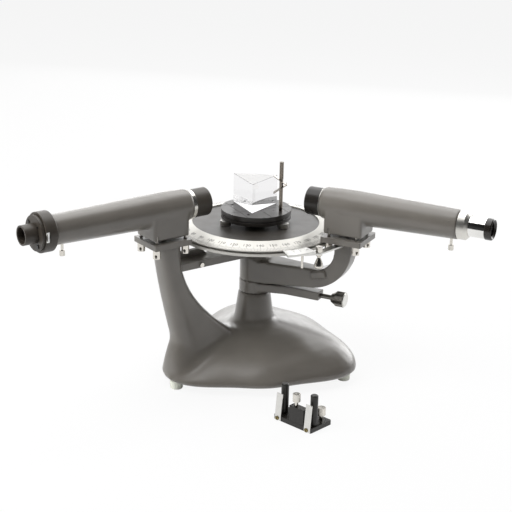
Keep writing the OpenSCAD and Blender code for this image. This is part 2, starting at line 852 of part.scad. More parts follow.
module eyepiece_barrel() {
    color(bright) in_telescope() lying(barrel_u0) tube(barrel_r, barrel_bore, cap_u0 - barrel_u0);
}

module eyepiece_cap() {
    color(black_satin) in_telescope() lying(cap_u0) rotate_extrude()
        polygon([[cup_lip, -cup_skirt], [barrel_bore - fit, -cup_skirt], [barrel_bore - fit, 0],
            [eyecup_r - 0.5, 0], [eyecup_r, 0.5], [eyecup_r, eyecup_l - 1.2],
            [eyecup_r - 1.2, eyecup_l], [eye_hole, eyecup_l - 2], [eye_hole, eyecup_l - 3],
            [cup_lip, eyecup_l - 3]]);
}

eye_curve = 30;
eye_lens_t = 3.6;

module eyepiece_lenses() {
    color(glass_clear) in_telescope() {
        lying(barrel_u0 + 4) biconvex(barrel_bore - fit, eye_curve, 4.6);
        lying(tel_end - 3 - eye_lens_t) biconvex(cup_lip - fit, eye_curve, eye_lens_t);
    }
}

// Telescope arm: a side view bent up to the pad, narrowed in plan from the hub outwards
arm_top = hub_z1 - 3.5;
arm_bottom = hub_z0 + 3;
bend_u = arm_out - bend_out_r;
rod_z = ring_z0 + ring_h / 2 + 0.2;

module arm_side_view() {
    polygon(concat([[0, hub_z0], [hub_r, hub_z0], [bend_u, arm_bottom]],
        [for (t = [5:5:90]) [bend_u + bend_out_r * sin(t), arm_bottom + bend_out_r * (1 - cos(t))]],
        [[arm_out, pad_z0], [arm_in, pad_z0]],
        [for (t = [0:10:90]) [arm_in - bend_in_r * (1 - cos(t)), arm_top + bend_in_r * (1 - sin(t))]],
        [[0, arm_top]]));
}

arm_taper_u = arm_in * 0.75;

module telescope_arm() {
    color(paint_grey) in_telescope() difference() {
        union() {
            translate([0, 0, hub_z0]) cylinder(r = hub_r, h = hub_h);
            intersection() {
                translate([0, hub_r, 0]) rotate([90, 0, 0]) linear_extrude(2 * hub_r) arm_side_view();
                translate([0, 0, hub_z0]) linear_extrude(pad_z0 - hub_z0 + cut)
                    polygon([[0, -hub_r], [arm_taper_u, -arm_w / 2], [arm_out + cut, -arm_w / 2],
                        [arm_out + cut, arm_w / 2], [arm_taper_u, arm_w / 2], [0, hub_r]]);
            }
        }
        translate([strip_end_u - strip_w / 2 - fit, -arm_w / 2 - cut, strip_z0 - fit])
            cube([strip_w + 2 * fit, strip_slot + fit + cut, strip_t + 2 * fit]);
        translate([0, 0, hub_z0 - cut]) cylinder(r = spindle_r + play, h = hub_h + 2 * cut);
    }
}

module clamp_ring() {
    color(paint_grey) in_telescope() difference() {
        translate([0, 0, ring_z0]) union() {
            cylinder(r = ring_r, h = ring_h);
            translate([0, 0, 2.7]) linear_extrude(ring_h - 4.3) polygon([[0, -ring_r],
                [bar_reach / 2, -bar_w / 2], [bar_reach, -bar_w / 2], [bar_reach, bar_w / 2],
                [bar_reach / 2, bar_w / 2], [0, ring_r]]);
        }
        translate([0, 0, ring_z0 - cut]) cylinder(r = spindle_r + play, h = ring_h + 2 * cut);
        translate([0, 0, rod_z]) rotate([0, 90, 0]) cylinder(r = rod_r + play, h = bar_reach + cut);
    }
}

module clamp_screw() {
    color(bright) in_telescope() translate([0, 0, rod_z]) rotate([0, 90, 0]) {
        translate([0, 0, spindle_r + 0.1])
            cylinder(r = rod_r, h = bar_reach + rod_show - spindle_r);
        translate([0, 0, bar_reach + rod_show]) {
            cylinder(r1 = knob_r * 0.6, r2 = knob_r - 0.4, h = knob_l * 0.35);
            translate([0, 0, knob_l * 0.35]) knurled(knob_r, knob_l * 0.6, 44);
            translate([0, 0, knob_l * 0.95]) cylinder(r = knob_r - 1.2, h = knob_l * 0.05);
        }
    }
}

// Divided circle: a carrier on the spindle, the circle on its flange, the disc inside
module dial_carrier() {
    color(bright) at_axis() rotate_extrude() polygon([[spindle_r + play, carrier_z0],
        [spindle_r + 12, carrier_z0], [spindle_r + 14, flange_z0 - 4], [spindle_r + 20, flange_z0],
        [dial_r - 0.6, flange_z0], [dial_r - 0.6, flange_z1], [stem_r + 2, flange_z1],
        [stem_r + 2, flange_z0], [spindle_r + play, flange_z0]]);
}

module dial_ring() {
    color(bright) at_axis() rotate_extrude() polygon([[band_r - 7, flange_z1],
        [dial_r - 5, flange_z1], [dial_r - 5, edge_z0], [dial_r, edge_z0], [dial_r, edge_z1],
        [band_r + 0.7, band_z], [band_r, band_z - 0.2], [band_r, disc_z - 4],
        [band_r - 7, disc_z - 4]]);
}

module dial_disc() {
    color(black_satin) at_axis() translate([0, 0, disc_z - 4]) tube(band_r - fit, stem_r + 2, 4);
}

// Vernier and its bracket, carried by the telescope arm
vernier_z1 = edge_z1 - 0.2;
vernier_z0 = vernier_z1 - vernier_t;
strip_z0 = vernier_z0 - strip_t;
strip_r = dial_r + strip_out;
bolt_at = -24.3;
pin_at = vernier_span - vernier_from - 5.7;
pin_h = 17.3;
pin_r = 1.3;
bolt_r = 1.8;
strip_end_u = arm_in + 7;
strip_slot = 2;

function polar(r, a) = [r * cos(a), r * sin(a), 0];

module vernier_plate() {
    color(bright) in_telescope() rotate([0, 0, -vernier_from])
        rotate_extrude(angle = vernier_span) translate([dial_r + 0.4, vernier_z0])
            square([vernier_w, vernier_t]);
}

module vernier_strip() {
    color(bright) in_telescope() difference() {
        union() {
            translate([0, 0, strip_z0]) linear_extrude(strip_t) hull() {
                translate(polar(dial_r + 10, -vernier_from + vernier_span - 5)) circle(r = strip_w / 2);
                translate(polar(strip_r, bolt_at)) circle(r = strip_w / 2);
            }
            translate([0, 0, strip_z0]) linear_extrude(strip_t) hull() {
                translate(polar(strip_r, bolt_at)) circle(r = strip_w / 2);
                translate([strip_end_u - strip_w / 2, -arm_w / 2 - strip_slot])
                    square([strip_w, strip_slot / 2]);
            }
            translate([strip_end_u - strip_w / 2, -arm_w / 2 - strip_slot, strip_z0])
                cube([strip_w, 2 * strip_slot, strip_t]);
        }
        translate(polar(strip_r, bolt_at)) cylinder(r = bolt_r + play, h = optic_h);
    }
}

bolt_head_r = 4;
bolt_head_h = 6;
drop_r = 4.8;
drop_h = 15.9;

module vernier_screw() {
    color(bright) in_telescope() translate(polar(strip_r, bolt_at)) {
        translate([0, 0, vernier_z0 + play]) cylinder(r = bolt_head_r, h = bolt_head_h, $fn = 6);
        translate([0, 0, strip_z0 - 2]) cylinder(r = bolt_r, h = strip_t + 4);
        translate([0, 0, strip_z0 - drop_h - play]) rotate_extrude() polygon([[0, 0],
            [0.7 * drop_r, 0], [0.95 * drop_r, 1.2], [drop_r, 3], [0.88 * drop_r, 6],
            [0.62 * drop_r, 9], [bolt_r, 11.5], [bolt_r, 13], [0.7 * drop_r, 14.2],
            [0.7 * drop_r, drop_h], [0, drop_h]]);
    }
}

module vernier_pin() {
    color(bright) in_telescope() translate(polar(dial_r + vernier_w * 0.4, pin_at))
        translate([0, 0, vernier_z0 - pin_h]) cylinder(r = pin_r, h = pin_h - strip_t);
}

// Prism table
level_at = table_r - level_in;
post_az = -17;
post_at = 27.6;
level_az = [205, 325, 85];
level_shank = 1.8;
level_z0 = disc_z + 0.6;
neck_r = 4;
post_hole = 4;
line_w = 0.5;
line_deep = 0.4;

module table_stem() {
    color(steel_grey) at_axis() {
        translate([0, 0, stem_z0]) cylinder(r = stem_r, h = stem_l - 4);
        translate([0, 0, level_z0]) cylinder(r = stem_r * 2, h = lower_z0 - seat - level_z0);
        translate([0, 0, lower_z0 - seat]) cylinder(r = neck_r, h = lower_t);
    }
}

module table_lower_plate() {
    color(black_satin) at_axis() difference() {
        translate([0, 0, lower_z0]) cylinder(r = table_r, h = lower_t);
        translate([0, 0, lower_z0 - cut]) cylinder(r = neck_r + play, h = lower_t + 2 * cut);
        for (a = level_az) translate(polar(level_at, a)) translate([0, 0, lower_z0 - cut])
            cylinder(r = level_shank + play, h = lower_t + 2 * cut, $fn = 32);
    }
}

module table_top_plate() {
    color(black_satin) at_axis() difference() {
        translate([0, 0, top_z0]) cylinder(r = table_r, h = top_t);
        for (k = [0:3]) translate(polar(post_at, post_az + 90 * k))
            translate([0, 0, table_z - post_hole])
                cylinder(r = post_r + (k == 0 ? play : -0.3), h = post_hole + cut, $fn = 32);
        translate([prism_x, prism_y, table_z - line_deep]) rotate([0, 0, prism_az + 30]) {
            for (d = [-24, 0, 24]) translate([-2 * table_r, d - line_w / 2, 0])
                cube([4 * table_r, line_w, 1]);
            for (d = [-14, 14]) translate([d - line_w / 2, -2 * table_r, 0])
                cube([line_w, 4 * table_r, 1]);
        }
    }
}

module levelling_screw(k) {
    color(bright) at_axis() translate(polar(level_at, level_az[k])) {
        translate([0, 0, level_z0]) knurled(level_r, lower_z0 - seat - level_z0, 26);
        translate([0, 0, lower_z0 - 0.5]) cylinder(r = level_shank, h = top_z0 - 0.1 - lower_z0 + 0.5);
    }
}

module levelling_screw_left() {
    levelling_screw(0);
}

module levelling_screw_right() {
    levelling_screw(1);
}

module levelling_screw_back() {
    levelling_screw(2);
}

// Prism, post and clip
prism_x = -2.3;
prism_y = 6;
prism_az = 266;

module prism() {
    color(glass_clear) at_axis() translate([prism_x, prism_y, table_z]) rotate([0, 0, prism_az])
        linear_extrude(prism_h) polygon([for (k = [0:2])
            prism_side / sqrt(3) * [cos(120 * k), sin(120 * k)]]);
}

grip_l = 19;

module clamp_post() {
    color(steel_grey) at_axis() translate(polar(post_at, post_az)) {
        translate([0, 0, table_z - post_hole + 0.2])
            cylinder(r = post_r, h = post_h + post_hole - 0.2 - grip_l, $fn = 32);
        translate([0, 0, table_z + post_h - grip_l]) knurled(post_r + 0.2, grip_l, 12);
    }
}

clip_z = table_z + 29;
clip_bend_u = 5.5;
clip_w = 6.6;
clip_hole_r = post_r + 0.35;

module spring_clip() {
    lean = atan(clip_open / 2 / clip_l);
    color(bright) at_axis() translate(polar(post_at, post_az)) translate([0, 0, clip_z])
        difference() {
            translate([clip_bend_u, -clip_w / 2, 0]) {
                for (side = [-1, 1]) rotate([0, side * lean, 0]) translate([-clip_l / cos(lean), 0,
                    -clip_t / 2]) cube([clip_l / cos(lean), clip_w, clip_t]);
                rotate([-90, 0, 0]) cylinder(r = clip_t, h = clip_w, $fn = 32);
            }
            translate([0, 0, -clip_open]) cylinder(r = clip_hole_r, h = 2 * clip_open, $fn = 32);
        }
}

// Grating holder, standing beside the instrument
leaf_x = hold_l / 2 - 5.5;
leaf_shift = 0.8;
leaf_t = 0.8;
leaf_z0 = 0.6;
leaf_lean = 2.4;
hold_post_y = -hold_w / 2 + 10.5;
leaf_y = -hold_w / 2;
block_x0 = -4.5;
block_x1 = 15;
block_y = 8;
thumb_r = 2;
thumb_heads = [4.1, 4.6];
holder_screws_at = [[1.7, leaf_y + block_y / 2, hold_block_h], [17, 9.5, hold_t]];
pin_screw_z = 2.6;
pin_screw_r = 1;
pin_screw_l = 5;

module in_holder() {
    at_axis() translate([hold_x, -hold_y, 0]) rotate([0, 0, hold_az]) children();
}

module holder_plate() {
    color(black_satin) in_holder() difference() {
        slab(hold_l, hold_w, hold_t, 1.5);
        translate([holder_screws_at[1][0], holder_screws_at[1][1], -cut])
            cylinder(r = thumb_r + play, h = hold_t + 2 * cut);
        for (side = [-1, 1]) translate([side * leaf_x, leaf_y - cut, pin_screw_z]) rotate([-90, 0, 0])
            cylinder(r = pin_screw_r + fit, h = pin_screw_l + cut, $fn = 24);
    }
}

module holder_posts() {
    color(black_satin) in_holder() {
        for (side = [-1, 1]) translate([side * leaf_x, hold_post_y, hold_t]) rotate_extrude()
            polygon([[0, 0], [hold_post_r, 0], [hold_post_r, hold_post_h - 0.8],
                [hold_post_r - 0.8, hold_post_h], [0, hold_post_h]]);
        difference() {
            translate([block_x0, leaf_y, hold_t])
                cube([block_x1 - block_x0, block_y, hold_block_h - hold_t]);
            translate([holder_screws_at[0][0], holder_screws_at[0][1], hold_t + 4])
                cylinder(r = thumb_r + play, h = hold_block_h);
        }
    }
}

module holder_springs() {
    color(bright) in_holder() for (side = [-1, 1]) difference() {
        translate([side * leaf_x + leaf_shift - leaf_w / 2, 0, 0]) rotate([90, 0, 90])
            linear_extrude(leaf_w) polygon([[leaf_y - leaf_t, leaf_z0], [leaf_y, leaf_z0],
                [leaf_y, hold_t], [leaf_y + leaf_lean, leaf_z0 + leaf_l],
                [leaf_y + leaf_lean - leaf_t, leaf_z0 + leaf_l], [leaf_y - leaf_t, hold_t]]);
        translate([side * leaf_x, leaf_y - cut - cut, pin_screw_z]) rotate([-90, 0, 0])
            cylinder(r = pin_screw_r + fit, h = pin_screw_l, $fn = 24);
    }
}

module holder_brass_screws() {
    color(brass) in_holder() for (side = [-1, 1])
        translate([side * leaf_x, leaf_y - leaf_t, pin_screw_z]) rotate([-90, 0, 0]) {
            cylinder(r = pin_screw_r, h = pin_screw_l, $fn = 24);
            translate([0, 0, -1]) cylinder(r = 2, h = 1, $fn = 32);
        }
}

module holder_screw(k) {
    color(bright) in_holder() translate(holder_screws_at[k]) {
        translate([0, 0, 0.5 - hold_t]) cylinder(r = thumb_r, h = 10);
        translate([0, 0, 5]) knurled(thumb_heads[k], 8.5, 22);
    }
}

module holder_screw_front() {
    holder_screw(0);
}

module holder_screw_back() {
    holder_screw(1);
}

base_casting();
base_cover();
rubber_feet();
central_column();
spindle();
tie_bar();
tie_bar_screws();
collimator_pad();
collimator_casting();
collimator_studs();
collimator_nuts();
collimator_lens_cell();
collimator_lens();
collimator_hood();
collimator_lock_screw();
slit_draw_tube();
slit_plate();
slit_tube();
slit_screws();
slit_ring();
slit_jaw_left();
slit_jaw_right();
telescope_arm();
telescope_pad();
clamp_ring();
clamp_screw();
vernier_plate();
vernier_strip();
vernier_screw();
vernier_pin();
telescope_casting();
telescope_studs();
telescope_nuts();
telescope_lens_cell();
telescope_lens();
telescope_hood();
telescope_lock_screw();
eyepiece_tube();
crosswire_ring();
eyepiece_barrel();
eyepiece_cap();
eyepiece_lenses();
dial_carrier();
dial_ring();
dial_disc();
table_stem();
table_lower_plate();
table_top_plate();
levelling_screw_left();
levelling_screw_right();
levelling_screw_back();
clamp_post();
spring_clip();
prism();
holder_plate();
holder_posts();
holder_springs();
holder_brass_screws();
holder_screw_front();
holder_screw_back();
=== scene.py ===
import bpy
import bmesh
import json
import math
from mathutils import Matrix, Vector

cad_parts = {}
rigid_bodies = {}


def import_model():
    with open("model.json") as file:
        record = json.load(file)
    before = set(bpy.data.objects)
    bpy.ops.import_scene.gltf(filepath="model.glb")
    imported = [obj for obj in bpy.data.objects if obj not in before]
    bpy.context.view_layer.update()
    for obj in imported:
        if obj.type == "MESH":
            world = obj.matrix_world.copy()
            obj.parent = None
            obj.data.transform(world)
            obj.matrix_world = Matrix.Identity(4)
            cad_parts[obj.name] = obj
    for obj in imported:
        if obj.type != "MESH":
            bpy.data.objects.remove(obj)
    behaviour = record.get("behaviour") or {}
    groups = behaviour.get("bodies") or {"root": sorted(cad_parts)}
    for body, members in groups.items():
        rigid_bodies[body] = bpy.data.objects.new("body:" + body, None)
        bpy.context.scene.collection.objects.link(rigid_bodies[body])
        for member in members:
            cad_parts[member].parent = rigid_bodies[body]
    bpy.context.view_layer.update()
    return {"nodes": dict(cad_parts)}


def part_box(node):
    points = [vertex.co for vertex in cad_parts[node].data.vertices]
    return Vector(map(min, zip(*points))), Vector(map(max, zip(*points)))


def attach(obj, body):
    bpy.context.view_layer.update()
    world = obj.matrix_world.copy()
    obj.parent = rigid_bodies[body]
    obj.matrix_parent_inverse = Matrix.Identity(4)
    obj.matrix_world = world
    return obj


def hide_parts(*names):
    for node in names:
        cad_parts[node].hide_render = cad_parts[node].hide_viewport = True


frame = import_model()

# Student spectrometer. Lengths in the dictionaries are in mm unless a note says otherwise
nodes = frame["nodes"]
mm = 0.001
weld = 1e-6  # metres; points closer than this are one

# Places shared with the CAD: the upright main axis, the tubes' height and their directions
low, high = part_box("spindle")
axisAt = Vector(((low.x + high.x) / 2, (low.y + high.y) / 2, 0))
low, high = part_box("slit_tube")
opticHeight = (low.z + high.z) / 2 / mm
collimatorTurn = 216.4
telescopeTurn = 333.8


def onAxis(turn=0, out=0, height=0):
    return (Matrix.Translation(axisAt) @ Matrix.Rotation(math.radians(turn), 4, "Z")
            @ Matrix.Translation((out * mm, 0, height * mm)))


def alongTube(turn, out=0):
    return onAxis(turn, out, opticHeight) @ Matrix.Rotation(math.radians(90), 4, "Y")


def aside(distance):
    return Matrix.Translation((0, distance * mm, 0))


# Camera and light
def buildCamera():
    view = {"away": 1501.1, "side": 1.0, "height": 653.0, "pitch": 19.26, "roll": 1.23, "angle": 20.0}
    camera = bpy.data.objects.new("camera", bpy.data.cameras.new("camera"))
    bpy.context.scene.collection.objects.link(camera)
    camera.data.angle = math.radians(view["angle"])
    camera.data.clip_start = 0.01
    camera.matrix_world = (
        Matrix.Translation(axisAt + Vector((view["side"], -view["away"], view["height"])) * mm)
        @ Matrix.Rotation(math.radians(90 - view["pitch"]), 4, "X")
        @ Matrix.Rotation(math.radians(view["roll"]), 4, "Z"))
    bpy.context.scene.camera = camera


# Large dim lamps, in metres and watts: small bright ones would clip the divided circle
def buildLamps():
    lamps = {
        "backSoftbox": {"at": (0.05, 1.0, 1.2), "aim": (0, 0, 0.15), "size": (1.6, 0.8), "power": 9},
        "topSoftbox": {"at": (-0.1, 0.15, 1.6), "aim": (0, 0, 0.15), "size": (1.8, 1.0), "power": 15},
        "backLow": {"at": (0.35, 1.4, 0.35), "aim": (0.05, 0, 0.1), "size": (1.8, 0.5), "power": 5.5},
        "rightStrip": {"at": (1.0, 0.9, 0.55), "aim": (0.08, 0, 0.05), "size": (0.9, 0.8), "power": 8},
        "leftStrip": {"at": (-0.55, 1.2, 0.75), "aim": (-0.1, 0, 0.15), "size": (0.9, 0.7), "power": 1.5},
        "frontFill": {"at": (-0.85, -0.6, 1.6), "aim": (0, 0, 0.1), "size": (0.9, 0.7), "power": 16,
                      "mirrored": False},
        "leftFill": {"at": (-1.25, -0.5, 0.6), "aim": (-0.08, 0, 0.08), "size": (0.7, 0.6), "power": 11,
                     "mirrored": False},
        "rightFill": {"at": (0.75, -1.0, 1.2), "aim": (-0.1, 0, 0.15), "size": (0.7, 0.6), "power": 5,
                      "mirrored": False},
    }
    for name, lamp in lamps.items():
        light = bpy.data.lights.new(name, "AREA")
        light.shape = "RECTANGLE"
        light.size, light.size_y = lamp["size"]
        light.energy = lamp["power"]
        holder = bpy.data.objects.new(name, light)
        bpy.context.scene.collection.objects.link(holder)
        holder.location = lamp["at"]
        holder.visible_glossy = lamp.get("mirrored", True)
        holder.visible_camera = False
        holder.visible_transmission = False
        aim = Vector(lamp["aim"]) - Vector(lamp["at"])
        holder.rotation_euler = aim.to_track_quat("-Z", "Y").to_euler()


def either(tree, first, second):
    larger = tree.nodes.new("ShaderNodeMath")
    larger.operation = "MAXIMUM"
    tree.links.new(first, larger.inputs[0])
    tree.links.new(second, larger.inputs[1])
    return larger.outputs[0]


def blend(tree, factor, first, second):
    mix = tree.nodes.new("ShaderNodeMixShader")
    tree.links.new(factor, mix.inputs[0])
    tree.links.new(first, mix.inputs[1])
    tree.links.new(second, mix.inputs[2])
    return mix.outputs[0]


# Greys along one coordinate of the direction looked in, which runs from -1 to 1
def greysAlong(tree, coordinate, steps):
    spread = tree.nodes.new("ShaderNodeMapRange")
    spread.inputs["From Min"].default_value = -1.0
    tree.links.new(coordinate, spread.inputs["Value"])
    shades = tree.nodes.new("ShaderNodeValToRGB")
    ends = shades.color_ramp.elements
    ends[0].position, ends[1].position = steps[0][0], steps[-1][0]
    ends[0].color = (steps[0][1],) * 3 + (1,)
    ends[1].color = (steps[-1][1],) * 3 + (1,)
    for position, grey in steps[1:-1]:
        ends.new(position).color = (grey, grey, grey, 1)
    tree.links.new(spread.outputs["Result"], shades.inputs["Fac"])
    return shades.outputs["Color"]


# Gloss sees the white backdrop low behind the object, a darker ceiling and a dark room before it
def buildBackdrop():
    backdrop = {
        "ambient": 0.1,
        "Y": ((0.0, 0.03), (0.4, 0.06), (0.5, 0.35), (0.75, 1.0)),
        "Z": ((0.5, 1.0), (0.62, 1.0), (0.7, 0.45), (0.8, 0.3), (1.0, 0.3)),
    }
    world = bpy.data.worlds.new("studio")
    bpy.context.scene.world = world
    world.use_nodes = True
    tree = world.node_tree
    tree.nodes.clear()
    ambient = tree.nodes.new("ShaderNodeBackground")
    ambient.inputs["Color"].default_value = (1, 1, 1, 1)
    ambient.inputs["Strength"].default_value = backdrop["ambient"]
    white = tree.nodes.new("ShaderNodeBackground")
    white.inputs["Color"].default_value = (1, 1, 1, 1)
    apart = tree.nodes.new("ShaderNodeSeparateXYZ")
    direction = tree.nodes.new("ShaderNodeTexCoord").outputs["Generated"]
    tree.links.new(direction, apart.inputs[0])
    both = tree.nodes.new("ShaderNodeMix")
    both.data_type = "RGBA"
    both.blend_type = "MULTIPLY"
    both.inputs["Factor"].default_value = 1.0
    for axis, socket in (("Y", 6), ("Z", 7)):  # the mix node's two colours
        tree.links.new(greysAlong(tree, apart.outputs[axis], backdrop[axis]), both.inputs[socket])
    room = tree.nodes.new("ShaderNodeBackground")
    tree.links.new(both.outputs[2], room.inputs["Color"])
    path = tree.nodes.new("ShaderNodeLightPath").outputs
    lit = blend(tree, path["Is Glossy Ray"], ambient.outputs[0], room.outputs[0])
    plain = either(tree, path["Is Camera Ray"], path["Is Transmission Ray"])
    output = tree.nodes.new("ShaderNodeOutputWorld")
    tree.links.new(blend(tree, plain, lit, white.outputs[0]), output.inputs["Surface"])


# Matt paper that takes the shadow, and glows for rays that come straight from the eye or a mirror
def buildFloor():
    sheet = {"half": 6, "front": 0.8, "paper": 0.65, "glow": 0.9}  # metres, then shares of white
    bm = bmesh.new()
    bmesh.ops.create_grid(bm, x_segments=2, y_segments=2, size=sheet["half"],
                          matrix=Matrix.Translation((0, sheet["half"] - sheet["front"], 0)))
    mesh = bpy.data.meshes.new("floor")
    bm.to_mesh(mesh)
    bm.free()
    floor = bpy.data.objects.new("floor", mesh)
    bpy.context.scene.collection.objects.link(floor)
    material = bpy.data.materials.new("paleFloor")
    material.use_nodes = True
    tree = material.node_tree
    tree.nodes.clear()
    paper = tree.nodes.new("ShaderNodeBsdfDiffuse")
    paper.inputs["Color"].default_value = (sheet["paper"],) * 3 + (1,)
    glow = tree.nodes.new("ShaderNodeEmission")
    glow.inputs["Strength"].default_value = 1.0
    path = tree.nodes.new("ShaderNodeLightPath").outputs
    seen = either(tree, either(tree, path["Is Camera Ray"], path["Is Glossy Ray"]),
                  path["Is Transmission Ray"])
    share = tree.nodes.new("ShaderNodeMath")
    share.operation = "MULTIPLY"
    share.inputs[1].default_value = sheet["glow"]
    tree.links.new(seen, share.inputs[0])
    output = tree.nodes.new("ShaderNodeOutputMaterial")
    tree.links.new(blend(tree, share.outputs[0], paper.outputs[0], glow.outputs[0]),
                   output.inputs["Surface"])
    floor.data.materials.append(material)


# Materials: every pattern reads Object coordinates; grain depths are in metres
noiseSpan = (0.3, 0.7)  # the part of a noise's range that does the work


def srgb(r, g, b):
    return tuple(((c / 255 + 0.055) / 1.055) ** 2.4 for c in (r, g, b)) + (1.0,)


def shade(colour, factor):
    return tuple(c * factor for c in colour[:3]) + (1.0,)


def startMaterial(name, colour, roughness, metallic=0.0, **fixed):
    material = bpy.data.materials.new(name)
    material.use_nodes = True
    shader = material.node_tree.nodes["Principled BSDF"]
    shader.inputs["Base Color"].default_value = colour
    shader.inputs["Roughness"].default_value = roughness
    shader.inputs["Metallic"].default_value = metallic
    for socket, value in fixed.items():
        shader.inputs[socket.replace("_", " ")].default_value = value
    return material, material.node_tree, shader


def points(tree):
    return tree.nodes.new("ShaderNodeTexCoord").outputs["Object"]


# Radius and height about the lathe's axis, so that a pattern runs round the work
def lathePoints(tree, place):
    mapping = tree.nodes.new("ShaderNodeMapping")
    mapping.vector_type = "TEXTURE"
    mapping.inputs["Location"].default_value = place.translation
    mapping.inputs["Rotation"].default_value = place.to_euler()
    apart = tree.nodes.new("ShaderNodeSeparateXYZ")
    flat = tree.nodes.new("ShaderNodeCombineXYZ")
    radius = tree.nodes.new("ShaderNodeVectorMath")
    radius.operation = "LENGTH"
    again = tree.nodes.new("ShaderNodeCombineXYZ")
    tree.links.new(points(tree), mapping.inputs["Vector"])
    tree.links.new(mapping.outputs["Vector"], apart.inputs[0])
    tree.links.new(apart.outputs["X"], flat.inputs["X"])
    tree.links.new(apart.outputs["Y"], flat.inputs["Y"])
    tree.links.new(flat.outputs[0], radius.inputs[0])
    tree.links.new(radius.outputs["Value"], again.inputs["X"])
    tree.links.new(apart.outputs["Z"], again.inputs["Z"])
    return again.outputs[0]


def noise(tree, vector, scale, detail):
    texture = tree.nodes.new("ShaderNodeTexNoise")
    texture.inputs["Scale"].default_value = scale
    texture.inputs["Detail"].default_value = detail
    tree.links.new(vector, texture.inputs["Vector"])
    return texture.outputs["Fac"]


def tint(tree, shader, factor, dark, light):
    ramp = tree.nodes.new("ShaderNodeValToRGB")
    ramp.color_ramp.elements[0].position, ramp.color_ramp.elements[1].position = noiseSpan
    ramp.color_ramp.elements[0].color = dark
    ramp.color_ramp.elements[1].color = light
    tree.links.new(factor, ramp.inputs["Fac"])
    tree.links.new(ramp.outputs["Color"], shader.inputs["Base Color"])


def varyRoughness(tree, shader, factor, least, most):
    spread = tree.nodes.new("ShaderNodeMapRange")
    spread.inputs["From Min"].default_value, spread.inputs["From Max"].default_value = noiseSpan
    spread.inputs["To Min"].default_value = least
    spread.inputs["To Max"].default_value = most
    tree.links.new(factor, spread.inputs["Value"])
    tree.links.new(spread.outputs["Result"], shader.inputs["Roughness"])


def emboss(tree, shader, height, depth):
    bump = tree.nodes.new("ShaderNodeBump")
    bump.inputs["Distance"].default_value = depth
    bump.inputs["Strength"].default_value = 1.0
    tree.links.new(height, bump.inputs["Height"])
    tree.links.new(bump.outputs["Normal"], shader.inputs["Normal"])


def enamel(name, colour, roughness, grain=900.0, depth=0.00003, **fixed):
    material, tree, shader = startMaterial(name, colour, roughness, **fixed)
    where = points(tree)
    mottle = noise(tree, where, scale=38, detail=5)
    haze = noise(tree, where, scale=120, detail=4)
    tint(tree, shader, mottle, shade(colour, 0.92), shade(colour, 1.07))
    varyRoughness(tree, shader, haze, roughness - 0.05, roughness + 0.06)
    emboss(tree, shader, noise(tree, where, scale=grain, detail=2), depth)
    return material


# Machined work: fine rings round the axis, a faint haze, and a brushed shine where it is asked for
def turnedMetal(name, colour, roughness, place, lines=1600.0, depth=0.00002, metallic=1.0, wear=0.9,
                brushed=0.0, **fixed):
    material, tree, shader = startMaterial(name, colour, roughness, metallic, **fixed)
    if brushed:
        aroundAxis = tree.nodes.new("ShaderNodeTangent")
        aroundAxis.direction_type = "RADIAL"
        aroundAxis.axis = "Z"
        shader.inputs["Anisotropic"].default_value = brushed
        tree.links.new(aroundAxis.outputs[0], shader.inputs["Tangent"])
    haze = noise(tree, points(tree), scale=60, detail=4)
    tint(tree, shader, haze, shade(colour, wear), colour)
    varyRoughness(tree, shader, haze, roughness - 0.04, roughness + 0.06)
    emboss(tree, shader, noise(tree, lathePoints(tree, place), scale=lines, detail=4), depth)
    return material


def platedMetal(name, colour, roughness):
    material, tree, shader = startMaterial(name, colour, roughness, 1.0)
    where = points(tree)
    haze = noise(tree, where, scale=150, detail=5)
    tint(tree, shader, haze, shade(colour, 0.86), colour)
    varyRoughness(tree, shader, haze, roughness - 0.03, roughness + 0.08)
    emboss(tree, shader, noise(tree, where, scale=700, detail=3), depth=0.00001)
    return material


def clearGlass(name, colour, clear=1.0, roughness=0.0):
    material, tree, shader = startMaterial(name, colour, roughness, IOR=1.52, Transmission_Weight=clear)
    emboss(tree, shader, noise(tree, points(tree), scale=60, detail=2), depth=0.000002)
    return material


# Glows a little, as light through the prism isn't traced to its base
def groundGlass(name):
    ground = {"dark": (0.86, 0.87, 0.87, 1), "light": (0.95, 0.955, 0.955, 1), "roughness": 0.6, "glow": 0.85}
    material, tree, shader = startMaterial(name, ground["light"], ground["roughness"],
                                           Emission_Color=(1, 1, 1, 1), Emission_Strength=ground["glow"])
    where = points(tree)
    tint(tree, shader, noise(tree, where, scale=400, detail=4), ground["dark"], ground["light"])
    emboss(tree, shader, noise(tree, where, scale=3000, detail=2), depth=0.00002)
    return material


finishes = {}


